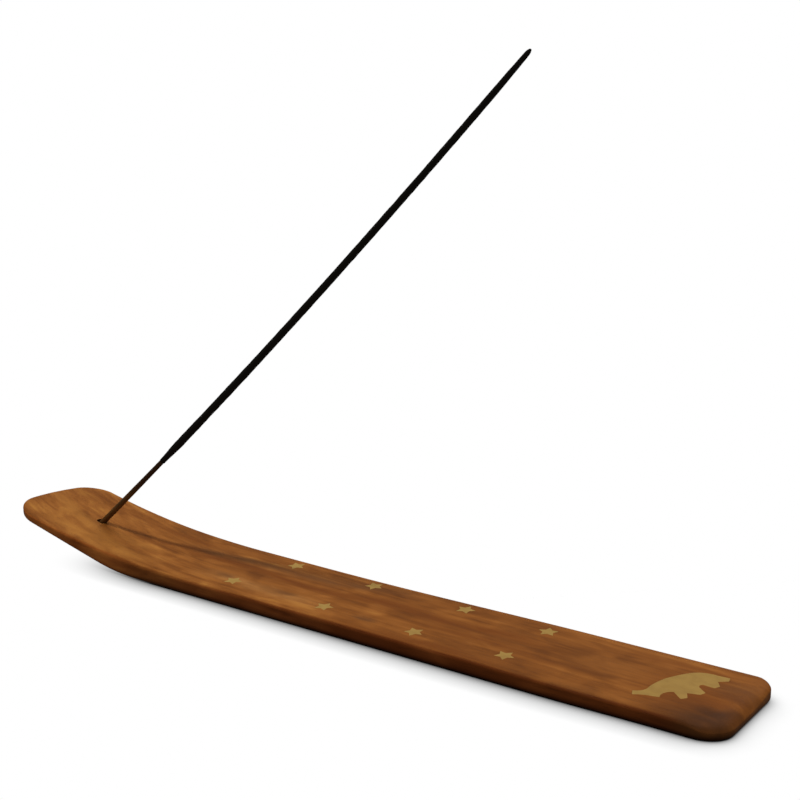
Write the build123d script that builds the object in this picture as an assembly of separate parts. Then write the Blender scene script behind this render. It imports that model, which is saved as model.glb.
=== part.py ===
from build123d import *
import os
from math import atan2, ceil, cos, pi, radians, sin, sqrt, tan

# Incense stick holder: a wooden board with a raised end, brass inlays and a stick in a slanted hole.
# X runs along the board with the raised end at -X, Y across it, Z up from the table.

# Board, seen from the side
board_length = 258.0
board_thickness = 4.75
tip_rise = 10.05  # top of the raised end above the flat top
tip_thickness = 2.7
top_sweep_length = 83.3  # raised end's tip to where the top turns flat
lift_off_length = 59.6  # raised end's tip to where the underside meets the table
under_straight_length = 41.8  # straight stretch of underside at the raised end
edge_rounding = 1.15

# Board, seen from above
board_width = 35.7
raised_end_bulge = 2.3  # the raised end is a shallow arc
raised_end_skew = 4.2  # its front corner lies further out than its back corner
raised_front_radius = 9.8
raised_back_radius = 8.2
low_front_radius = 8.6
low_back_radius = 4.9
waist_depth = 1.55  # shallow hollow in the back edge
waist_length = 145.0
waist_centre = 3.6

# Stick: a bamboo splint in a rolled coat of incense paste
stick_length = 228.5
stick_bow = 2.0  # sag of the middle below the straight line between its ends
splint_foot_diameter = 2.1
splint_diameter = 1.65  # at the paste's lower edge
splint_top_diameter = 1.15
paste_start = 42.5  # bare splint below the paste
paste_taper = 10.5
paste_feather = 0.15  # thickness of the paste at its lower edge
paste_base_diameter = 2.58
paste_top_diameter = 1.88
tip_taper = 8.5
tip_diameter = 1.2
tip_cover = 8.0  # paste past the splint's upper end
bond_gap = 0.05
ring_spacing = 11.0  # from one cross-section of the stick to the next

# Hole for the stick
hole_angle = 41.4  # slant from the table
hole_from_tip = 27.35
hole_y = -1.5  # drilled a little to the front of the middle
hole_play = 0.5  # radial room round the splint's foot
hole_floor = 0.5  # wood left under the hole
lean_gap = 0.1  # what is left of the play on the side that the stick leans on

# Brass inlays, the stars set by hand at uneven places and angles
inlay_thickness = 1.0
glue_gap = 0.1
star_points = 5
star_tip_radius = 3.0
star_waist_radius = 1.6
front_row = [(-35.2, -9.4, 18.0), (1.1, -10.0, 18.0), (33.7, -10.4, 63.0), (63.0, -9.6, 0.0)]  # x, y and turn
back_row = [(-27.5, 12.1, 65.0), (3.4, 12.0, 65.0), (36.6, 12.0, 18.0), (64.6, 11.5, 36.0)]
elephant_from_low_end = 18.2
elephant_y = 0.9
elephant_turn = 72.0
foot_rounding = 0.35

# Elephant outline, head to the left and feet down, measured from the middle of its body
trunk_top = (-12.9, 6.2)
trunk_tip = (-14.8, 4.5)
trunk_under = (-12.6, 2.6)
mouth = (-11.3, 0.6)
lip = (-10.3, -0.8)
throat = (-7.6, 0.2)
chest = (-5.2, -0.9)
fore_foot = [(-6.9, -4.7), (-5.1, -5.4)]
fore_crotch = (-3.0, -3.4)
near_foot = [(-1.1, -6.1), (0.8, -6.2)]
belly = [(2.1, -3.0), (3.1, -2.3), (4.0, -2.5)]
hind_foot = [(4.8, -5.7), (6.7, -5.9)]
hind_crotch = (8.5, -3.6)
rear_foot = [(10.9, -5.2), (12.7, -4.2)]
rump = [(11.4, -1.1), (9.7, 2.4), (6.9, 4.4)]
back = (3.0, 5.4)
shoulder = (-0.6, 6.0)
crown = (-4.2, 5.8)
brow = (-7.9, 5.1)
trunk_root = (-10.8, 4.7)

# Worked out from the sizes above
half_length = board_length / 2
half_width = board_width / 2
raised_chord = raised_end_bulge + raised_end_skew**2 / (16 * raised_end_bulge) - half_length
tip_under = board_thickness + tip_rise - tip_thickness
top_radius = (top_sweep_length**2 + tip_rise**2) / (2 * tip_rise)
under_radius = (lift_off_length**2 + tip_under**2 - under_straight_length**2) / (2 * tip_under)
under_slope = atan2(lift_off_length, under_radius - tip_under) - atan2(under_straight_length, under_radius)
hole_radius = splint_foot_diameter / 2 + hole_play
slant = radians(hole_angle)
bow_radius = stick_length**2 / (8 * stick_bow)


def top_point(from_tip):
    """Point of the swept top this far from the raised end's tip, as x and z."""
    across = top_sweep_length - from_tip
    return from_tip - half_length, board_thickness + top_radius - sqrt(top_radius**2 - across**2)


def under_point(from_tip):
    """Point of the straight stretch of underside this far from the tip, as x and z."""
    return from_tip - half_length, tip_under - from_tip * tan(under_slope)


def board_side():
    """Side view of the board, flat under most of its length and swept up past the raised end."""
    top_bend = (top_sweep_length - half_length, board_thickness)
    lift_off = (lift_off_length - half_length, 0)
    under_bend = under_point(under_straight_length * cos(under_slope))
    top_end = top_point(-tip_thickness)
    low_end = Polyline(lift_off, (half_length, 0), (half_length, board_thickness), top_bend)
    top_sweep = TangentArc(top_bend, top_end, tangent=(-1, 0))
    raised_end = Polyline(top_end, under_point(-tip_thickness), under_bend)
    under_sweep = TangentArc(lift_off, under_bend, tangent=(-1, 0))
    return make_face([*low_end.edges(), top_sweep.edge(), *raised_end.edges(), under_sweep.edge()])


def waist():
    """Hollow in the back edge: four arcs that run into one another and into the straight edge."""
    quarter = waist_length / 4
    start, fall, deepest, climb, end = [waist_centre + step * quarter for step in (-2, -1, 0, 1, 2)]
    halfway = half_width - waist_depth / 2
    bottom = half_width - waist_depth
    return [
        TangentArc((start, half_width), (fall, halfway), tangent=(1, 0)),
        TangentArc((deepest, bottom), (fall, halfway), tangent=(-1, 0)),
        TangentArc((deepest, bottom), (climb, halfway), tangent=(1, 0)),
        TangentArc((end, half_width), (climb, halfway), tangent=(-1, 0)),
    ]


def board_plan():
    """Plan of the board, with four corners of different radius."""
    raised_front = (raised_chord - raised_end_skew / 2, -half_width)
    raised_back = (raised_chord + raised_end_skew / 2, half_width)
    low_front = (half_length, -half_width)
    low_back = (half_length, half_width)
    hollow = [arc.edge() for arc in waist()]
    raised_end = ThreePointArc(raised_front, (raised_chord - raised_end_bulge, 0), raised_back)
    straights = [
        Line(raised_back, (waist_centre - waist_length / 2, half_width)),
        *Polyline((waist_centre + waist_length / 2, half_width), low_back, low_front, raised_front).edges(),
    ]
    plan = make_face([raised_end.edge(), *straights, *hollow])
    corners = [
        (raised_front, raised_front_radius),
        (raised_back, raised_back_radius),
        (low_front, low_front_radius),
        (low_back, low_back_radius),
    ]
    for corner, radius in corners:
        plan = fillet(plan.vertices().sort_by_distance(corner)[0], radius)
    return plan


def is_rim(edge):
    """An edge round the top or the underside, not an upright or a line across the board."""
    way = edge % 0.5
    steep = cos(pi / 4)
    at_low_end = (edge @ 0.5).X > half_length - edge_rounding
    crossing = edge.geom_type == GeomType.LINE and abs(way.Y) > steep and not at_low_end
    return abs(way.Z) < steep and not crossing


def board_blank():
    """Board before the hole and the pockets are cut."""
    swept = extrude(Plane.XZ * board_side(), board_width, both=True)
    blank = swept & extrude(board_plan(), board_width)
    return fillet(blank.edges().filter_by(is_rim), edge_rounding)


def hole_mouth():
    """Where the hole's axis meets the top."""
    x, z = top_point(hole_from_tip)
    return Vector(x, hole_y, z)


def hole_bottom():
    """Centre of the hole's flat bottom, with hole_floor of wood between it and the underside."""
    wood = (hole_mouth().Z - under_point(hole_from_tip)[1]) * cos(under_slope)
    steep = slant + under_slope
    depth = (wood - hole_radius * cos(steep) - hole_floor) / sin(steep)
    return hole_mouth() - Vector(cos(slant), 0, sin(slant)) * depth


def slanted(origin, angle):
    """Plane square to a line that rises towards +X at this angle."""
    return Plane(origin, x_dir=(0, 1, 0), z_dir=(cos(angle), 0, sin(angle)))


def stick_hole():
    return extrude(slanted(hole_bottom(), slant) * Circle(hole_radius), 4 * tip_thickness)


def stick_plane(distance):
    """Plane square to the bowed stick, this far up from its lower end."""
    lean = hole_play - lean_gap
    foot = hole_bottom() + Vector(sin(slant), 0, -cos(slant)) * lean
    angle = slant + distance / bow_radius
    along = Vector(sin(angle) - sin(slant), 0, cos(slant) - cos(angle)) * bow_radius
    return slanted(foot + along, angle)


def rings(low, high):
    """Evenly spaced rings along the bow, from one place and diameter up to another."""
    steps = ceil((high[0] - low[0]) / ring_spacing)
    shares = [step / steps for step in range(steps + 1)]
    return [tuple(start + (end - start) * share for start, end in zip(low, high)) for share in shares]


def rolled(stations, gap=0.0):
    """Round body through rings along the bow, larger all round by the gap."""
    return loft([stick_plane(place) * Circle(across / 2 + gap) for place, across in stations], ruled=True)


def splint_rings():
    """Core of the stick, thickest at its foot."""
    foot = (0, splint_foot_diameter)
    edge = (paste_start, splint_diameter)
    top = (stick_length - tip_cover, splint_top_diameter)
    return rings(foot, edge)[:-1] + rings(edge, top)


def paste():
    """Rolled coat: feathered on to the splint below, tapered to a blunt tip above."""
    feather = (paste_start, splint_diameter + 2 * paste_feather)
    body_start = (paste_start + paste_taper, paste_base_diameter)
    body_end = (stick_length - tip_taper, paste_top_diameter)
    tip = [(stick_length - tip_diameter / 4, tip_diameter), (stick_length, tip_diameter / 2)]
    return rolled([feather, *rings(body_start, body_end), *tip]) - rolled(splint_rings(), bond_gap)


def star(x, y, turn):
    """Star outline at a place on the board."""
    corners = []
    for corner in range(2 * star_points):
        reach = star_waist_radius if corner % 2 else star_tip_radius
        angle = radians(turn) + corner * pi / star_points
        corners.append((x + reach * cos(angle), y + reach * sin(angle)))
    return make_face(Polyline(*corners, close=True))


def elephant():
    """Walking elephant with its trunk stretched out, turned across the board."""
    lines = [
        Line(trunk_top, trunk_tip),
        ThreePointArc(trunk_tip, trunk_under, mouth),
        Line(mouth, lip),
        ThreePointArc(lip, throat, chest),
        Polyline(chest, *fore_foot, fore_crotch, *near_foot, belly[0]),
        ThreePointArc(*belly),
        Polyline(belly[-1], *hind_foot, hind_crotch, *rear_foot, rump[0]),
        ThreePointArc(*rump),
        ThreePointArc(rump[-1], back, shoulder),
        ThreePointArc(shoulder, crown, brow),
        ThreePointArc(brow, trunk_root, trunk_top),
    ]
    outline = make_face([edge for line in lines for edge in line.edges()])
    tips = [*fore_foot, *near_foot, *hind_foot, *rear_foot, trunk_top, trunk_tip]
    corners = [outline.vertices().sort_by_distance(tip)[0] for tip in tips]
    place = Pos(half_length - elephant_from_low_end, elephant_y)
    return place * Rot(0, 0, elephant_turn) * fillet(corners, foot_rounding)


def inlay_outlines():
    """Name and outline of every brass plate."""
    outlines = {"elephant_inlay": elephant()}
    for row, places in {"front": front_row, "back": back_row}.items():
        for number, (x, y, turn) in enumerate(places, start=1):
            outlines[f"star_inlay_{row}_{number}"] = star(x, y, turn)
    return outlines


def plate(outline):
    """Brass plate, flush with the flat top."""
    return extrude(Pos(0, 0, board_thickness - inlay_thickness) * outline, inlay_thickness)


def pocket(outline):
    """Recess for a plate: the same depth, wider all round by the glue line."""
    return plate(offset(outline, glue_gap, kind=Kind.INTERSECTION))


outlines = inlay_outlines()
parts = {name: plate(outline) for name, outline in outlines.items()}
parts["board"] = board_blank() - stick_hole()
for outline in outlines.values():
    parts["board"] -= pocket(outline)
parts["bamboo_splint"] = rolled(splint_rings())
parts["incense_paste"] = paste()

os.makedirs("parts", exist_ok=True)
for name, solid in parts.items():
    export_step(solid, f"parts/{name}.step")
    print(name, round(solid.volume, 2), solid.bounding_box())
print("hole depth", round((hole_mouth() - hole_bottom()).length, 2), "mouth", hole_mouth())
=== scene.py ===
import math
import bmesh
import bpy
from mathutils import Matrix, Vector, noise


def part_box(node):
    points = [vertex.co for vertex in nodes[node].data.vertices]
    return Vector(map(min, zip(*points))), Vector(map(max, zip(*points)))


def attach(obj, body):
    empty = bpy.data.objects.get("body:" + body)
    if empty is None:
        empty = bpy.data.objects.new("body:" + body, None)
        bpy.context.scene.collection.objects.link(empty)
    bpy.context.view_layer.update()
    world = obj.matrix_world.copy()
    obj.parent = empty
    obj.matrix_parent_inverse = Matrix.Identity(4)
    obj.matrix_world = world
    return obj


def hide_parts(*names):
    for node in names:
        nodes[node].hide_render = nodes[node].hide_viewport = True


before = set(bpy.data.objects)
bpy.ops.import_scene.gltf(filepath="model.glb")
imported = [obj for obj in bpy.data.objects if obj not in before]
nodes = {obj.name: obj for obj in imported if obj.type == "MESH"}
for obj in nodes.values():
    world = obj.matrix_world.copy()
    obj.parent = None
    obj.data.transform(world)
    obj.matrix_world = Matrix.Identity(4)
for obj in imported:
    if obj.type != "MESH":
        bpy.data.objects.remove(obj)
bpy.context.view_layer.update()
plates = [name for name in sorted(nodes) if "inlay" in name]
mm = 0.001
hair = 0.01 * mm   # lengths under this count as nothing
noiseRange = (0.3, 0.7)   # where most of a noise texture lies


def between(start, end, share):
    return start + (end - start) * share


def smooth(low, high, value):
    share = min(max((value - low) / (high - low), 0.0), 1.0)
    return share * share * (3 - 2 * share)


def makePiece(name, bm):
    mesh = bpy.data.meshes.new(name)
    bm.to_mesh(mesh)
    bm.free()
    piece = bpy.data.objects.new(name, mesh)
    bpy.context.scene.collection.objects.link(piece)
    return piece


def shadeSmooth(piece, angle):
    piece.data.polygons.foreach_set("use_smooth", [True] * len(piece.data.polygons))
    piece.data.set_sharp_from_angle(angle=math.radians(angle))


# node helpers, all on object coordinates
def startMaterial(name):
    material = bpy.data.materials.new(name)
    material.use_nodes = True
    return material, material.node_tree, material.node_tree.nodes["Principled BSDF"]


def addNode(tree, kind, **settings):
    node = tree.nodes.new(kind)
    for key, value in settings.items():
        setattr(node, key, value)
    return node


def feed(tree, socket, value):
    if isinstance(value, bpy.types.NodeSocket):
        tree.links.new(value, socket)
    else:
        socket.default_value = value


def maths(tree, operation, first, second=0.0):
    node = addNode(tree, "ShaderNodeMath", operation=operation)
    feed(tree, node.inputs[0], first)
    feed(tree, node.inputs[1], second)
    return node.outputs[0]


def vectorMaths(tree, operation, first, second=(0, 0, 0)):
    node = addNode(tree, "ShaderNodeVectorMath", operation=operation)
    feed(tree, node.inputs[0], first)
    feed(tree, node.inputs[1], second)
    return node.outputs


def remap(tree, value, fromLow, fromHigh, toLow=0.0, toHigh=1.0, soft=True):
    node = addNode(tree, "ShaderNodeMapRange", interpolation_type="SMOOTHSTEP" if soft else "LINEAR")
    for socket, entry in zip(node.inputs[:5], (value, fromLow, fromHigh, toLow, toHigh)):
        feed(tree, socket, entry)
    return node.outputs[0]


def spanShare(tree, value, span):   # 0 at the start of a span in mm, 1 at its end
    return remap(tree, value, span[0] * mm, span[1] * mm)


def objectPlace(tree):
    return addNode(tree, "ShaderNodeTexCoord").outputs["Object"]


def placeAxes(tree):
    place = addNode(tree, "ShaderNodeSeparateXYZ")
    tree.links.new(objectPlace(tree), place.inputs[0])
    return place.outputs


def grainNoise(tree, size, detail=3.0, roughness=0.55, distortion=0.0,
               shift=(0, 0, 0), turn=0.0, place=None):   # size and shift in mm
    mapping = addNode(tree, "ShaderNodeMapping", vector_type="TEXTURE")
    mapping.inputs["Scale"].default_value = [length * mm for length in size]
    mapping.inputs["Location"].default_value = [length * mm for length in shift]
    mapping.inputs["Rotation"].default_value = (0, 0, math.radians(turn))
    tree.links.new(place or objectPlace(tree), mapping.inputs["Vector"])
    texture = addNode(tree, "ShaderNodeTexNoise")
    texture.inputs["Scale"].default_value = 1.0
    texture.inputs["Detail"].default_value = detail
    texture.inputs["Roughness"].default_value = roughness
    texture.inputs["Distortion"].default_value = distortion
    tree.links.new(mapping.outputs[0], texture.inputs["Vector"])
    return texture.outputs["Fac"]


def colourSteps(tree, value, steps):
    ramp = addNode(tree, "ShaderNodeValToRGB")
    while len(ramp.color_ramp.elements) < len(steps):
        ramp.color_ramp.elements.new(0.5)
    for element, (place, colour) in zip(ramp.color_ramp.elements, steps):
        element.position = place
        element.color = (*colour, 1.0)
    tree.links.new(value, ramp.inputs[0])
    return ramp.outputs[0]


def mixColour(tree, amount, first, second, blend="MIX"):
    node = addNode(tree, "ShaderNodeMix", data_type="RGBA", blend_type=blend)
    feed(tree, node.inputs[0], amount)
    for socket, entry in ((node.inputs[6], first), (node.inputs[7], second)):
        feed(tree, socket, entry if isinstance(entry, bpy.types.NodeSocket) else (*entry, 1.0))
    return node.outputs[2]


def addBump(tree, shader, height, distance, strength):
    bump = addNode(tree, "ShaderNodeBump")
    bump.inputs["Strength"].default_value = strength
    bump.inputs["Distance"].default_value = distance
    tree.links.new(height, bump.inputs["Height"])
    tree.links.new(bump.outputs[0], shader.inputs["Normal"])


# oiled hardwood: long streaks and soft blotches, with bands of heart, gold and stain over them; the bands
# along the stick's cast shadow are partly painted shadow
# spans, bands and the sizes of the patterns are in mm
wood = {
    "dark": (0.135, 0.041, 0.0066),
    "middle": (0.210, 0.068, 0.0112),
    "pale": (0.282, 0.099, 0.0185),
    "gold": (0.385, 0.157, 0.0300),
    "bleached": (0.370, 0.162, 0.0440),
    "heart": (0.150, 0.041, 0.0058),
    "shade": (0.112, 0.042, 0.0130),
    "stain": (0.052, 0.0185, 0.0060),
    # painted light in the hole: a pale wall at the mouth, part bare wood and part lifted against its
    # shade; soot and painted shade further down
    "boreLight": (0.36, 0.165, 0.050),
    "sootAndBoreShade": (0.180, 0.078, 0.0230),
    "tones": [(0.37, "dark"), (0.485, "middle"), (0.585, "pale"), (0.70, "gold")],   # by lightness
    "figure": {"size": (62, 4.4, 4.4), "detail": 4.0, "roughness": 0.58, "distortion": 0.6},
    "blotches": {"size": (13, 6.5, 6.5), "detail": 2.0, "roughness": 0.5, "distortion": 0.5,
                 "shift": (31, 12, 5)},
    "rings": {"size": (34, 1.3, 1.3), "detail": 2.0, "roughness": 0.5, "distortion": 0.3,
              "shift": (90, 3, 2)},
    "pores": {"size": (7, 0.24, 0.24), "detail": 1.0, "roughness": 0.4, "shift": (4, 5, 4)},
    "sway": {"size": (40, 18, 18), "shift": (70, 20, 0)},
    "figureShare": 0.62,   # what each pattern adds to the lightness
    "blotchShare": 0.42,
    "ringShare": 0.12,
    "drifts": [(-130, -70, -0.025, -0.075), (-18, 26, 0.0, -0.04)],   # from x to x, lightness at each
    "frontLift": 0.045,   # paler along the front, up to the middle of the board
    "frontSpan": (-1, -12),
    "frontEnd": (18, -16),
    "calm": 0.8,   # the streaks are fainter towards the low end
    "calmEnd": 40,
    "calmTone": 0.47,
    "lean": -2.0,   # degrees between the grain and the board
    "bendStart": -48,   # past here the grain curves towards the back
    "bend": 0.0013,
    "swayReach": 2.2,
    "patchRange": (0.34, 0.58),   # blotches that weaken the bands
    "patchLeast": 0.6,
    "poreRange": (0.60, 0.74),
    "poreShare": 0.3,
    "sideRange": (0.985, 0.72),   # how level a face is, from top to side
    "tipTint": (1.14, 0.93, 0.92),   # redder sides at the raised end
    "tipSpan": (-62, -84),
    "sideToneAndShade": (0.66, 0.50, 0.54),   # darker sides between the two ends: partly the wood's side tone, partly painted shade
    "sideShadeRise": (-104, -34),
    "sideShadeFall": (122, 112),
    "paintedFootShade": (0.36, 0.33, 0.36),   # painted shade along the line where the board meets the table
    "footShadeSpan": (2.1, 0.2),
    "boreLightSpan": (0.12, 0.02),   # where the painted hole light starts, outside the wall of the hole
    "boreShadeSpan": (-0.6, 2.0),   # down the hole, where soot and painted shade take over
    "roughness": 0.46,
    "roughnessGain": 0.14,
    "shine": 0.04,
    "ringHeight": 0.4,   # beside the depth of the pores
    "bumpHeight": 0.03,
    "bump": 0.8,
    "bandFade": 14,   # longest fade at the ends of a band
    "bandFadeShare": 0.4,
    "bands": [   # colour, amount, both ends of its middle line, half width
        ("gold", 0.70, (-124, 1.0), (-76, -13.0), 4.2),
        ("gold", 0.75, (-116, -10.5), (-76, -14.5), 4.6),
        ("gold", 0.50, (-96, -2.0), (-72, -5.0), 4.0),
        ("pale", 0.50, (-88, 14.0), (-64, 14.5), 3.6),
        ("heart", 0.50, (-96, 10.0), (-56, 10.5), 3.0),
        ("heart", 0.40, (-126, 10.0), (-112, 10.0), 5.0),
        ("pale", 0.60, (-62, -4.0), (-16, -7.0), 3.6),
        ("bleached", 0.70, (-46, -9.5), (-4, -11.0), 4.4),
        ("heart", 0.80, (4, -17.5), (62, -17.5), 3.4),
        ("shade", 0.70, (-43, -8.9), (-37, -8.9), 2.6),
        ("shade", 0.80, (-19, -8.9), (-12, -8.7), 2.4),
        ("shade", 0.75, (13, -10.4), (20, -10.6), 2.2),
        # partly painted shadow: this grey-brown zone follows the stick's cast shadow across the middle
        ("shade", 0.75, (-62, 5.5), (16, 10.0), 4.6),
        # the heart streak down the middle; its start, carried back to x -64, lies on the stick's cast
        # shadow and is painted shadow
        ("heart", 0.90, (-64, 2.4), (4, -0.5), 3.4),
        # painted shadow: a darker streak along the stick's cast shadow, deepening it
        ("heart", 0.80, (-78, 2.6), (-62, 4.6), 2.4),
        ("stain", 0.40, (-62, 5.4), (-55, 6.2), 2.4),
        ("heart", 0.90, (2, 0.8), (66, 1.8), 4.4),
        ("heart", 0.50, (30, -5.0), (74, -5.6), 3.6),
        ("pale", 0.55, (80, 2.5), (99, 1.5), 9.0),
        ("pale", 0.60, (82, -15.5), (103, -15.0), 3.4),
        ("heart", 0.50, (92, 13.5), (110, 13.0), 3.6),
        ("heart", 0.75, (104, -3.0), (127, -4.0), 15.0),
        ("shade", 0.60, (118, 7.0), (131, 7.0), 9.0),
        ("stain", 0.40, (110, -9.5), (127, -10.5), 9.0),
        ("stain", 0.55, (119, -8.5), (126, -10.0), 4.6),
        ("stain", 0.50, (121.5, -13.0), (129, -3.0), 5.0),
        ("stain", 0.80, (117, -14.0), (131, -13.0), 9.0),
        ("stain", 0.45, (110, -16.0), (130, -15.0), 5.0),
        ("stain", 0.50, (126, -5.0), (134, -5.0), 8.0),
    ],
}


def softBand(tree, x, y, start, end, half, sway):
    fade = min(wood["bandFade"], wood["bandFadeShare"] * (end[0] - start[0]))
    middle = remap(tree, x, start[0] * mm, end[0] * mm, start[1] * mm, end[1] * mm, soft=False)
    across = maths(tree, "ADD", maths(tree, "SUBTRACT", y, middle), sway)
    band = spanShare(tree, maths(tree, "ABSOLUTE", across), (half, 0.0))
    rise = spanShare(tree, x, (start[0] - fade, start[0] + fade))
    fall = spanShare(tree, x, (end[0] + fade, end[0] - fade))
    return maths(tree, "MULTIPLY", band, maths(tree, "MULTIPLY", rise, fall))


def curvedGrain(tree, x, y, z):   # object place with the curve of the grain at the raised end taken out
    past = maths(tree, "MAXIMUM", maths(tree, "SUBTRACT", wood["bendStart"] * mm, x), 0.0)
    rise = maths(tree, "MULTIPLY", maths(tree, "POWER", past, 2.0), wood["bend"] / mm)
    place = addNode(tree, "ShaderNodeCombineXYZ")
    for socket, value in zip(place.inputs, (x, maths(tree, "SUBTRACT", y, rise), z)):
        tree.links.new(value, socket)
    return place.outputs[0]


def woodLightness(tree, x, y, figure, blotches, rings):
    lightness = maths(tree, "MULTIPLY", figure, wood["figureShare"])
    for pattern, share in ((blotches, wood["blotchShare"]), (rings, wood["ringShare"])):
        lightness = maths(tree, "ADD", lightness, maths(tree, "MULTIPLY", pattern, share))
    for start, end, first, last in wood["drifts"]:
        lightness = maths(tree, "ADD", lightness, remap(tree, x, start * mm, end * mm, first, last))
    front = maths(tree, "MULTIPLY", spanShare(tree, y, wood["frontSpan"]),
                  spanShare(tree, x, wood["frontEnd"]))
    lightness = maths(tree, "ADD", lightness, maths(tree, "MULTIPLY", front, wood["frontLift"]))
    calm = remap(tree, x, 0.0, wood["calmEnd"] * mm, 1.0, wood["calm"])
    lightness = maths(tree, "MULTIPLY", maths(tree, "SUBTRACT", lightness, wood["calmTone"]), calm)
    return maths(tree, "ADD", lightness, wood["calmTone"])


def tintAndShadeSides(tree, x, z, colour):
    facing = addNode(tree, "ShaderNodeSeparateXYZ")
    tree.links.new(addNode(tree, "ShaderNodeTexCoord").outputs["Normal"], facing.inputs[0])
    upright = remap(tree, maths(tree, "ABSOLUTE", facing.outputs[2]), *wood["sideRange"])
    tipSide = maths(tree, "MULTIPLY", upright, spanShare(tree, x, wood["tipSpan"]))
    colour = mixColour(tree, tipSide, colour, wood["tipTint"], "MULTIPLY")
    # sides darkened by how they face: partly the wood's side tone, partly painted shade
    along = maths(tree, "MULTIPLY", spanShare(tree, x, wood["sideShadeRise"]),
                  spanShare(tree, x, wood["sideShadeFall"]))
    colour = mixColour(tree, maths(tree, "MULTIPLY", upright, along), colour, wood["sideToneAndShade"], "MULTIPLY")
    # painted shade: darker towards the bottom, where the board meets the table
    return mixColour(tree, spanShare(tree, z, wood["footShadeSpan"]), colour, wood["paintedFootShade"], "MULTIPLY")


def paintedHoleLight(tree, colour):   # painted light in the drilled hole: a pale wall at its mouth, part bare wood and part lifted against its shade, darker further down with soot and painted shade
    fromMouth = vectorMaths(tree, "SUBTRACT", objectPlace(tree), hole["mouth"])["Vector"]
    aside = vectorMaths(tree, "CROSS_PRODUCT", fromMouth, holeWay)["Vector"]
    fromAxis = vectorMaths(tree, "LENGTH", aside)["Value"]
    inside = spanShare(tree, maths(tree, "SUBTRACT", fromAxis, hole["radius"]), wood["boreLightSpan"])
    deeper = vectorMaths(tree, "DOT_PRODUCT", fromMouth, -holeWay)["Value"]
    wall = mixColour(tree, spanShare(tree, deeper, wood["boreShadeSpan"]), wood["boreLight"], wood["sootAndBoreShade"])
    return mixColour(tree, inside, colour, wall)


def woodMaterial():
    material, tree, shader = startMaterial("oiledHardwood")
    x, y, z = placeAxes(tree)
    grain = curvedGrain(tree, x, y, z)
    figure, blotches, rings, pores = [
        grainNoise(tree, **wood[pattern], turn=wood["lean"], place=grain)
        for pattern in ("figure", "blotches", "rings", "pores")]
    lightness = woodLightness(tree, x, y, figure, blotches, rings)
    colour = colourSteps(tree, lightness, [(place, wood[tone]) for place, tone in wood["tones"]])
    reach = wood["swayReach"] * mm
    sway = remap(tree, grainNoise(tree, **wood["sway"]), *noiseRange, -reach, reach, soft=False)
    patchy = remap(tree, blotches, *wood["patchRange"], wood["patchLeast"], 1.0)
    for tone, amount, start, end, half in wood["bands"]:
        band = maths(tree, "MULTIPLY", softBand(tree, x, y, start, end, half, sway), patchy)
        colour = mixColour(tree, maths(tree, "MULTIPLY", band, amount), colour, wood[tone])
    poreMask = remap(tree, pores, *wood["poreRange"])
    colour = mixColour(tree, maths(tree, "MULTIPLY", poreMask, wood["poreShare"]), colour, wood["stain"])
    colour = paintedHoleLight(tree, tintAndShadeSides(tree, x, z, colour))
    tree.links.new(colour, shader.inputs["Base Color"])
    dullest = wood["roughness"] + wood["roughnessGain"]
    gloss = remap(tree, figure, *noiseRange, wood["roughness"], dullest, soft=False)
    tree.links.new(gloss, shader.inputs["Roughness"])
    shader.inputs["Specular IOR Level"].default_value = wood["shine"]
    height = maths(tree, "SUBTRACT", maths(tree, "MULTIPLY", rings, wood["ringHeight"]), poreMask)
    addBump(tree, shader, height, wood["bumpHeight"] * mm, wood["bump"])
    return material


# board: a box with rounded uprights and rims, cut into strips and bent into its side view
board = {
    "length": 258.0 * mm,
    "width": 35.7 * mm,
    "thickness": 4.75 * mm,
    "tipRise": 10.05 * mm,
    "tipThickness": 2.7 * mm,
    "topSweep": 83.3 * mm,
    "liftOff": 59.6 * mm,
    "underStraight": 41.8 * mm,
    "rounding": 1.15 * mm,
    "bulge": 2.3 * mm,
    "skew": 4.2 * mm,
    "endReach": 26.0 * mm,   # how far in the shape of the raised end fades out
    "corners": {(-1, -1): 9.8 * mm, (-1, 1): 8.2 * mm, (1, -1): 8.6 * mm, (1, 1): 4.9 * mm},
    "waistDepth": 1.55 * mm,
    "waistLength": 145.0 * mm,
    "waistCentre": 3.6 * mm,
    "waistInner": 14.6 * mm,   # the hollow only moves the strip outside this line
    "wornWidth": 5.4 * mm,
    "wornDepth": 1.0 * mm,   # front edge by the low end, rubbed down
    "wornStart": 0.1,   # share of that at the raised end
    "wornGains": [(0.2, -60.0 * mm, 40.0 * mm), (0.7, 50.0 * mm, 115.0 * mm)],   # share added, from x to x
    "wornIn": 0.7 * mm,   # the same edge, rubbed in
    "wornInSpan": (78.0 * mm, 112.0 * mm),
    "wornInner": 12.0 * mm,
    "endDepth": 1.8 * mm,   # rounder rim of the low end, from the near corner to past the middle
    "endSpan": (117.0 * mm, 125.0 * mm),
    "endAcross": (14.0 * mm, 5.0 * mm),
    "stripRuns": [(-126.0, 2.5, 36), (-36.0, 5.0, 28)],   # first cut, step and number, in mm
    "endCuts": [108, 112, 115.5, 118.5, 121, 123, 124.5, 125.8, 126.7, 127.4],
    "sideCuts": [-15.6, -14.5, -13.4, -12.2, -9, -5, 0, 5, 10, 14.6, 15.6],
    "pocketGap": 0.06 * mm,
    "pocketStretch": 3.0,   # takes the cutters through the top
}
hole = {
    "angle": math.radians(41.4),
    "mouth": Vector((-101.65, -1.5, 9.248)) * mm,
    "radius": 1.55 * mm,
    "depth": 2.78 * mm,
    "cutterLength": 12.0 * mm,
}
halfLength = board["length"] / 2
halfWidth = board["width"] / 2
holeWay = Vector((math.cos(hole["angle"]), 0.0, math.sin(hole["angle"])))
holeAside = Vector((math.sin(hole["angle"]), 0.0, -math.cos(hole["angle"])))   # towards its lower wall
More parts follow.
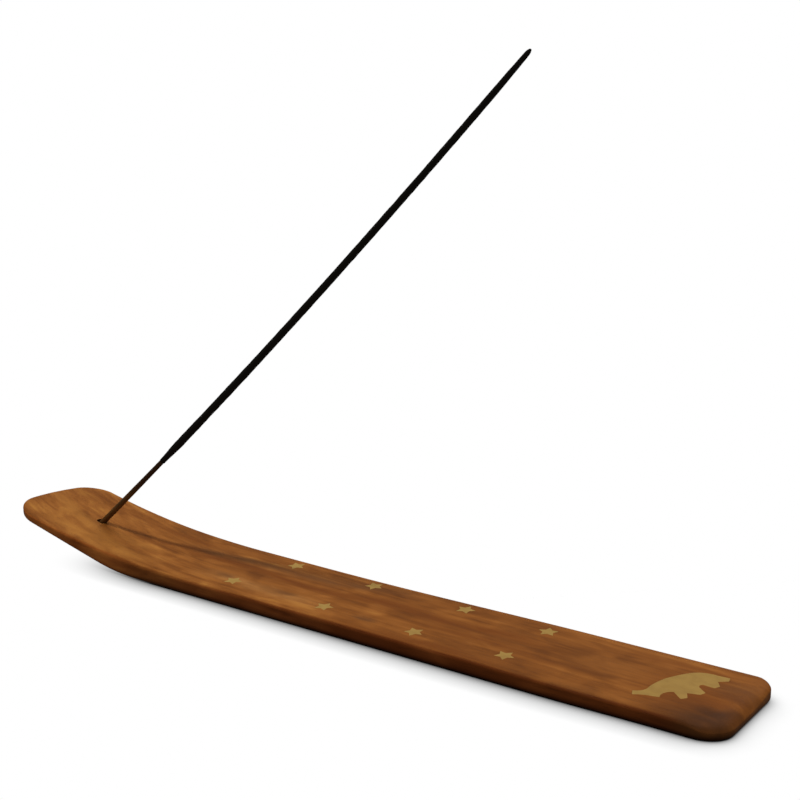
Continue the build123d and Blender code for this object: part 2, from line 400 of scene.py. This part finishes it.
holeTurn = Vector((0, 0, 1)).rotation_difference(holeWay).to_matrix().to_4x4()
holeBottom = hole["mouth"] - holeWay * hole["depth"]

tipUnder = board["thickness"] + board["tipRise"] - board["tipThickness"]
topRadius = (board["topSweep"]**2 + board["tipRise"]**2) / (2 * board["tipRise"])
underRadius = (board["liftOff"]**2 + tipUnder**2 - board["underStraight"]**2) / (2 * tipUnder)
underSlope = (math.atan2(board["liftOff"], underRadius - tipUnder)
              - math.atan2(board["underStraight"], underRadius))


def topHeight(x):
    across = max(board["topSweep"] - (x + halfLength), 0.0)
    return board["thickness"] + topRadius - math.sqrt(topRadius**2 - across**2)


def underHeight(x):
    fromTip = x + halfLength
    if fromTip < board["underStraight"] * math.cos(underSlope):
        return tipUnder - fromTip * math.tan(underSlope)
    across = max(board["liftOff"] - fromTip, 0.0)
    return underRadius - math.sqrt(underRadius**2 - across**2)


def fromEdge(x, y):   # distance in from the front edge and the low end, round their corner
    fromEnd, fromFront = halfLength - x, y + halfWidth
    radius = board["corners"][(1, -1)]
    if fromEnd < radius and fromFront < radius:
        return radius - math.hypot(radius - fromEnd, radius - fromFront)
    return min(fromEnd, fromFront)


def wornDrop(x, y, share):   # only the upper half of the thickness is worn
    inset = fromEdge(x, y)
    if inset >= board["wornWidth"] or share <= 0.5:
        return 0.0
    along = board["wornStart"]
    for gain, start, end in board["wornGains"]:
        along += gain * smooth(start, end, x)
    near = 1 - max(inset, 0.0) / board["wornWidth"]
    atEnd = smooth(*board["endSpan"], x) * smooth(*board["endAcross"], y)
    drop = board["wornDepth"] * along * near**2
    drop += board["endDepth"] * atEnd * (1 - math.sqrt(1 - near**2))
    return drop * (share - 0.5) * 2


def bendBoard(vert):
    x, y, z = vert.co
    share = z / board["thickness"]
    side = y / halfWidth
    drop = wornDrop(x, y, share)
    nearFront = max((-board["wornInner"] - y) / (halfWidth - board["wornInner"]), 0.0)
    y += board["wornIn"] * nearFront * smooth(*board["wornInSpan"], x)
    bulge, skew = board["bulge"], board["skew"]
    reach = bulge * side**2 + skew**2 / (16 * bulge) + skew / 2 * side
    x += reach * smooth(board["endReach"] - halfLength, -halfLength, x)
    fromWaist = (x - board["waistCentre"]) / board["waistLength"]
    if abs(fromWaist) < 0.5:
        hollow = board["waistDepth"] * (0.5 + 0.5 * math.cos(2 * math.pi * fromWaist))
        inner = board["waistInner"]
        y -= hollow * min(max((y - inner) / (halfWidth - inner), 0.0), 1.0)
    vert.co = (x, y, between(underHeight(x), topHeight(x), share) - drop)


def roundedBox():
    bm = bmesh.new()
    bmesh.ops.create_cube(bm, size=1.0)
    bmesh.ops.scale(bm, vec=(board["length"], board["width"], board["thickness"]), verts=bm.verts)
    bmesh.ops.translate(bm, vec=(0, 0, board["thickness"] / 2), verts=bm.verts)
    for (endSide, wideSide), radius in board["corners"].items():
        corner = Vector((halfLength * endSide, halfWidth * wideSide))
        upright = [edge for edge in bm.edges if all((v.co.xy - corner).length < hair for v in edge.verts)]
        bmesh.ops.bevel(bm, geom=upright, offset=radius, segments=14, profile=0.5,
                        affect="EDGES", material=-1)
    rims = [edge for edge in bm.edges if abs(edge.verts[0].co.z - edge.verts[1].co.z) < hair]
    bmesh.ops.bevel(bm, geom=rims, offset=board["rounding"], segments=6, profile=0.5,
                    affect="EDGES", material=-1)
    return bm


def cutStrips(bm):
    cutsX = [first + step * number for first, step, count in board["stripRuns"] for number in range(count)]
    for way, cuts in (((1, 0, 0), cutsX + board["endCuts"]), ((0, 1, 0), board["sideCuts"])):
        for cut in cuts:
            bmesh.ops.bisect_plane(bm, geom=[*bm.verts, *bm.edges, *bm.faces],
                                   plane_co=Vector(way) * cut * mm, plane_no=way, dist=hair)


def pocketCutter(node):
    bm = bmesh.new()
    bm.from_mesh(nodes[node].data)
    bmesh.ops.remove_doubles(bm, verts=bm.verts, dist=hair / 10)
    low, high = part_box(node)
    centre = (low + high) / 2
    span = high - low
    gap = board["pocketGap"]
    grow = Matrix.Diagonal((1 + gap / span.x, 1 + gap / span.y, board["pocketStretch"], 1.0))
    pocketFloor = Matrix.Translation((centre.x, centre.y, low.z))
    bmesh.ops.transform(bm, matrix=pocketFloor @ grow @ pocketFloor.inverted(), verts=bm.verts)
    return makePiece(node + "Cutter", bm)


def holeCutter():
    bm = bmesh.new()
    length, radius = hole["cutterLength"], hole["radius"]
    stand = Matrix.Translation(holeBottom + holeWay * length / 2) @ holeTurn
    bmesh.ops.create_cone(bm, cap_ends=True, segments=40, radius1=radius, radius2=radius,
                          depth=length, matrix=stand)
    return makePiece("holeCutter", bm)


def cutAway(piece, cutters):
    for cutter in cutters:
        cut = piece.modifiers.new(cutter.name, "BOOLEAN")
        cut.operation = "DIFFERENCE"
        cut.solver = "EXACT"
        cut.object = cutter
    bpy.context.view_layer.update()
    shaped = piece.evaluated_get(bpy.context.evaluated_depsgraph_get())
    piece.data = bpy.data.meshes.new_from_object(shaped)
    piece.data.attributes.remove(piece.data.attributes["custom_normal"])   # brought in by the cutters
    piece.data.materials.clear()
    piece.modifiers.clear()
    for cutter in cutters:
        bpy.data.objects.remove(cutter)


def makeBoard():
    bm = roundedBox()
    cutStrips(bm)
    for vert in bm.verts:
        bendBoard(vert)
    bmesh.ops.remove_doubles(bm, verts=bm.verts, dist=hair / 2)
    bmesh.ops.recalc_face_normals(bm, faces=bm.faces)
    piece = makePiece("boardBody", bm)
    cutAway(piece, [holeCutter()] + [pocketCutter(name) for name in plates])
    shadeSmooth(piece, angle=38)
    piece.data.materials.append(woodMaterial())
    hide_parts("board")
    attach(piece, "holder")
    print("board:", len(piece.data.polygons), "faces")


# brass plates, sanded flush with the wood along the board
brass = {
    "colour": (0.325, 0.193, 0.045),
    "paintedLightBrass": (0.435, 0.266, 0.066),   # paler towards the raised end: painted light evening out the plates' reflection along the board
    "paintedLightEnd": -35 * mm,
    "paintedLightFadeEnd": 100 * mm,
    "tarnish": (0.90, 0.875, 0.85),
    "tarnishRange": (0.35, 0.70),
    "scratches": {"size": (11, 0.19, 0.19), "detail": 2.0, "roughness": 0.6},
    "clouds": {"size": (3.2, 3.2, 3.2), "detail": 2.0, "roughness": 0.5, "shift": (2, 3, 1)},
    "metal": 0.5,   # half metal, as the plates are dulled by sanding and wax
    "shine": 0.1,
    "roughness": (0.40, 0.60),
    "bumpHeight": 0.01 * mm,
    "bump": 0.6,
}


def brassMaterial():
    material, tree, shader = startMaterial("sandedBrass")
    scratches = grainNoise(tree, **brass["scratches"])
    dull = remap(tree, grainNoise(tree, **brass["clouds"]), *brass["tarnishRange"])
    # painted light: the plates are paler towards the raised end, where their reflection comes out duller
    lightFade = remap(tree, placeAxes(tree)[0], brass["paintedLightEnd"], brass["paintedLightFadeEnd"], soft=False)
    colour = mixColour(tree, lightFade, brass["paintedLightBrass"], brass["colour"])
    colour = mixColour(tree, dull, colour, brass["tarnish"], "MULTIPLY")
    tree.links.new(colour, shader.inputs["Base Color"])
    shader.inputs["Metallic"].default_value = brass["metal"]
    shader.inputs["Specular IOR Level"].default_value = brass["shine"]
    gloss = remap(tree, scratches, *noiseRange, *brass["roughness"], soft=False)
    tree.links.new(gloss, shader.inputs["Roughness"])
    addBump(tree, shader, scratches, brass["bumpHeight"], brass["bump"])
    return material


def dressInlays():
    material = brassMaterial()
    for name in plates:
        nodes[name].material_slots[0].material = material
    print("inlays:", len(plates), "brass plates")


# dyed bamboo, paler towards its foot, and dry black paste with fine grit
bamboo = {
    "dyed": (0.044, 0.0185, 0.0060),
    "paleFoot": (0.150, 0.068, 0.0170),
    "paleFootSpan": (30, 16),   # heights in mm
    "paleFootLeast": 0.45,
    "fibres": {"size": (6, 0.17, 6), "detail": 2.0},
    "roughness": 0.6,
    "shine": 0.08,
    "bumpHeight": 0.03 * mm,
    "bump": 0.7,
}
paste = {
    "black": (0.0095, 0.0075, 0.0052),
    "grit": (0.034, 0.028, 0.020),
    "gritRange": (0.58, 0.72),
    "gritShare": 0.6,
    "grains": {"size": (0.19, 0.19, 0.19), "detail": 3.0, "roughness": 0.7},
    "roughness": 0.9,
    "shine": 0.1,
    "bumpHeight": 0.06 * mm,
    "bump": 0.8,
}


def bambooMaterial():
    material, tree, shader = startMaterial("dyedBamboo")
    fibres = grainNoise(tree, **bamboo["fibres"])
    paleFoot = spanShare(tree, placeAxes(tree)[2], bamboo["paleFootSpan"])
    streaks = remap(tree, fibres, *noiseRange, bamboo["paleFootLeast"], 1.0)
    colour = mixColour(tree, maths(tree, "MULTIPLY", paleFoot, streaks), bamboo["dyed"], bamboo["paleFoot"])
    tree.links.new(colour, shader.inputs["Base Color"])
    shader.inputs["Roughness"].default_value = bamboo["roughness"]
    shader.inputs["Specular IOR Level"].default_value = bamboo["shine"]
    addBump(tree, shader, fibres, bamboo["bumpHeight"], bamboo["bump"])
    return material


def pasteMaterial():
    material, tree, shader = startMaterial("blackPaste")
    grains = grainNoise(tree, **paste["grains"])
    specks = maths(tree, "MULTIPLY", remap(tree, grains, *paste["gritRange"]), paste["gritShare"])
    tree.links.new(mixColour(tree, specks, paste["black"], paste["grit"]), shader.inputs["Base Color"])
    shader.inputs["Roughness"].default_value = paste["roughness"]
    shader.inputs["Specular IOR Level"].default_value = paste["shine"]
    addBump(tree, shader, grains, paste["bumpHeight"], paste["bump"])
    return material


# stick: a splint in a hand rolled coat, both spun round the centre of the bow
stick = {
    "length": 228.5 * mm,
    "bow": 2.0 * mm,
    "footRadius": 1.05 * mm,
    "splintRadius": 0.825 * mm,   # at the lower edge of the paste
    "topRadius": 0.575 * mm,
    "lean": 0.4 * mm,   # the foot rests against the lower wall of the hole
    "tipCover": 8.0 * mm,
    "pasteStart": 42.5 * mm,
    "pasteTaper": 10.5 * mm,
    "pasteFeather": 0.13 * mm,
    "pasteBase": 1.29 * mm,
    "pasteTop": 0.94 * mm,
    "tipTaper": 14.0 * mm,
    "tipRadius": 0.68 * mm,
    "tipRound": 1.8 * mm,
    "tipBlunt": 0.82,   # 1 would round the tip off to a point
    "lumps": 0.07,   # share of the radius
    "waves": {"along": 150, "row": 3.1, "amount": 0.6},   # noise to the metre, and its share of the lumps
    "rolling": {"along": 420, "around": 900, "amount": 0.7},
    "grit": {"along": 3200, "amount": 0.18},
    "splits": {"along": 25, "around": 1500, "amount": 0.06},
    "splitDepth": 0.03,   # the splits start this share of the radius down
    "pasteSides": 20,
    "pasteSteps": 340,
    "splintSides": 16,
    "splintSteps": 180,
}
bowRadius = stick["length"]**2 / (8 * stick["bow"])
stickFoot = holeBottom + holeAside * stick["lean"]
bowCentre = stickFoot - holeAside * bowRadius


def bowedTube(start, end, radius, sides, steps):
    bm = bmesh.new()
    bmesh.ops.create_circle(bm, cap_ends=False, segments=sides, radius=radius,
                            matrix=Matrix.Translation(stickFoot) @ holeTurn)
    swing = Matrix.Rotation(start / bowRadius, 4, (0, -1, 0))
    middle = Matrix.Translation(bowCentre)
    bmesh.ops.transform(bm, matrix=middle @ swing @ middle.inverted(), verts=bm.verts)
    bmesh.ops.spin(bm, geom=[*bm.verts, *bm.edges], cent=bowCentre, axis=(0, -1, 0),
                   angle=(end - start) / bowRadius, steps=steps, use_merge=False)
    bmesh.ops.remove_doubles(bm, verts=bm.verts, dist=hair / 10)
    bmesh.ops.holes_fill(bm, edges=[edge for edge in bm.edges if edge.is_boundary], sides=sides)
    bmesh.ops.recalc_face_normals(bm, faces=bm.faces)
    return bm


def alongStick(point):
    arm = point - bowCentre
    return (math.atan2(arm.x, -arm.z) - hole["angle"]) * bowRadius


def stickCore(distance):
    angle = hole["angle"] + distance / bowRadius
    return bowCentre + Vector((math.sin(angle), 0.0, -math.cos(angle))) * bowRadius


def pasteRadius(distance):
    bodyStart = stick["pasteStart"] + stick["pasteTaper"]
    bodyEnd = stick["length"] - stick["tipTaper"]
    if distance < bodyStart:
        share = smooth(stick["pasteStart"], bodyStart, distance)
        return between(stick["splintRadius"] + stick["pasteFeather"], stick["pasteBase"], share)
    if distance < bodyEnd:
        share = (distance - bodyStart) / (bodyEnd - bodyStart)
        return between(stick["pasteBase"], stick["pasteTop"], share)
    share = min((distance - bodyEnd) / stick["tipTaper"], 1.0)
    short = max(1 - (1 - share) * stick["tipTaper"] / stick["tipRound"], 0.0)
    radius = between(stick["pasteTop"], stick["tipRadius"], share)
    return radius * math.sqrt(1 - stick["tipBlunt"] * short**2)


def splintRadius(distance):
    edge, top = stick["pasteStart"], stick["length"] - stick["tipCover"]
    if distance < edge:
        return between(stick["footRadius"], stick["splintRadius"], distance / edge)
    return between(stick["splintRadius"], stick["topRadius"], (distance - edge) / (top - edge))


def skinNoise(skin, point, core, distance):
    around = skin["around"]
    place = Vector((distance * skin["along"], point.y * around, (point.z - core.z) * around))
    return noise.noise(place) * skin["amount"]


def pasteSkin(point, core, distance):
    waves, grit = stick["waves"], stick["grit"]
    rolled = noise.noise(Vector((distance * waves["along"], waves["row"], 0))) * waves["amount"]
    rolled += skinNoise(stick["rolling"], point, core, distance)
    return stick["lumps"] * (rolled + noise.noise(point * grit["along"]) * grit["amount"])


def splintSkin(point, core, distance):
    return skinNoise(stick["splits"], point, core, distance) - stick["splitDepth"]


def shapeTube(bm, radiusAt, skin):
    for vert in bm.verts:
        distance = alongStick(vert.co)
        core = stickCore(distance)
        out = (vert.co - core).normalized()
        vert.co = core + out * radiusAt(distance) * (1 + skin(vert.co, core, distance))


def makePaste():
    bm = bowedTube(stick["pasteStart"], stick["length"], stick["pasteBase"],
                   stick["pasteSides"], stick["pasteSteps"])
    shapeTube(bm, pasteRadius, pasteSkin)
    piece = makePiece("rolledPaste", bm)
    shadeSmooth(piece, angle=60)
    piece.data.materials.append(pasteMaterial())
    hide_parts("incense_paste")
    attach(piece, "stick")
    print("paste:", len(piece.data.polygons), "faces")


def makeSplint():
    bm = bowedTube(0.0, stick["length"] - stick["tipCover"], stick["splintRadius"],
                   stick["splintSides"], stick["splintSteps"])
    shapeTube(bm, splintRadius, splintSkin)
    piece = makePiece("bambooCore", bm)
    shadeSmooth(piece, angle=50)
    piece.data.materials.append(bambooMaterial())
    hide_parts("bamboo_splint")
    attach(piece, "stick")
    print("splint:", len(piece.data.polygons), "faces")


# pale sweep of floor, white to the camera and dim in what it throws back at the wood
studio = {
    "floorSize": 6.0,
    "floorDrop": 0.03 * mm,   # keeps the floor clear of the board's underside
    "bounce": 0.22,
    "sky": 0.23,
    "shadowReach": 9.2 * mm,
    "shadowLean": (-0.05, 0.34, 0.93),   # the shadow lies in front and past the low end
    "shadowRange": (0.215, 0.956),   # openness that reads as black and as white
    "shadowStart": (-110, -60),   # it fades in under the raised end, x in mm
    "lamps": {
        "overhead": {"from": (0.0, -0.148, 0.989), "strength": 1.38, "spread": 3.8},
        "backPanel": {"from": (0.0, 0.53, 0.848), "strength": 1.57, "spread": 40.0},
    },
}


def seenDirectly(tree):
    path = addNode(tree, "ShaderNodeLightPath")
    return maths(tree, "MAXIMUM", path.outputs["Is Camera Ray"], path.outputs["Is Transmission Ray"])


def floorMaterial():
    material, tree, shader = startMaterial("paleFloor")
    grey = studio["bounce"]
    shader.inputs["Base Color"].default_value = (grey, grey, grey, 1.0)
    shader.inputs["Roughness"].default_value = 1.0
    shader.inputs["Specular IOR Level"].default_value = 0.0
    # painted shadow: the camera sees the floor glow, darkened near the board by an occlusion reading
    # rather than by the lamps, and faded out under the raised end
    contact = addNode(tree, "ShaderNodeAmbientOcclusion", samples=24)
    contact.inputs["Distance"].default_value = studio["shadowReach"]
    tilted = addNode(tree, "ShaderNodeCombineXYZ")
    for socket, part in zip(tilted.inputs, studio["shadowLean"]):
        socket.default_value = part
    tree.links.new(tilted.outputs[0], contact.inputs["Normal"])
    dark = remap(tree, contact.outputs["AO"], *studio["shadowRange"], 1.0, 0.0, soft=False)
    dark = maths(tree, "MULTIPLY", dark, spanShare(tree, placeAxes(tree)[0], studio["shadowStart"]))
    white = addNode(tree, "ShaderNodeEmission")
    tree.links.new(maths(tree, "SUBTRACT", 1.0, dark), white.inputs["Strength"])
    either = addNode(tree, "ShaderNodeMixShader")
    tree.links.new(seenDirectly(tree), either.inputs[0])
    tree.links.new(shader.outputs[0], either.inputs[1])
    tree.links.new(white.outputs[0], either.inputs[2])
    tree.links.new(either.outputs[0], tree.nodes["Material Output"].inputs["Surface"])
    return material


def makeStudio():
    bm = bmesh.new()
    bmesh.ops.create_grid(bm, x_segments=1, y_segments=1, size=studio["floorSize"])
    bmesh.ops.translate(bm, vec=(0, 0, -studio["floorDrop"]), verts=bm.verts)
    floor = makePiece("floor", bm)
    floor.data.materials.append(floorMaterial())

    world = bpy.data.worlds.new("studio")
    bpy.context.scene.world = world
    world.use_nodes = True
    tree = world.node_tree
    strength = remap(tree, seenDirectly(tree), 0.0, 1.0, studio["sky"], 1.0, soft=False)
    tree.links.new(strength, tree.nodes["Background"].inputs["Strength"])
    tree.nodes["Background"].inputs["Color"].default_value = (1, 1, 1, 1)

    for name, setting in studio["lamps"].items():
        lamp = bpy.data.lights.new(name, "SUN")
        lamp.energy = setting["strength"]
        lamp.angle = math.radians(setting["spread"])
        light = bpy.data.objects.new(name, lamp)
        light.rotation_euler = (-Vector(setting["from"])).to_track_quat("-Z", "Y").to_euler()
        bpy.context.scene.collection.objects.link(light)
    print("studio: floor, sky and", len(studio["lamps"]), "lamps")


# camera, with its place worked out from the edges of the board
view = {
    "place": (0.24362, -0.31418, 0.15966),
    "tilt": 13.36,   # degrees below level
    "turn": 35.26,
    "lens": 63.0,
    "sensor": 36.0,
    "nearest": 0.01,
}


def makeCamera():
    data = bpy.data.cameras.new("view")
    data.lens = view["lens"]
    data.sensor_width = view["sensor"]
    data.clip_start = view["nearest"]
    camera = bpy.data.objects.new("view", data)
    camera.location = view["place"]
    camera.rotation_euler = (math.radians(90 - view["tilt"]), 0.0, math.radians(view["turn"]))
    bpy.context.scene.collection.objects.link(camera)
    bpy.context.scene.camera = camera
    print("camera:", view["lens"], "mm lens")


bpy.context.scene.view_settings.view_transform = "Standard"
makeCamera()
makeStudio()
makeBoard()
dressInlays()
makeSplint()
makePaste()
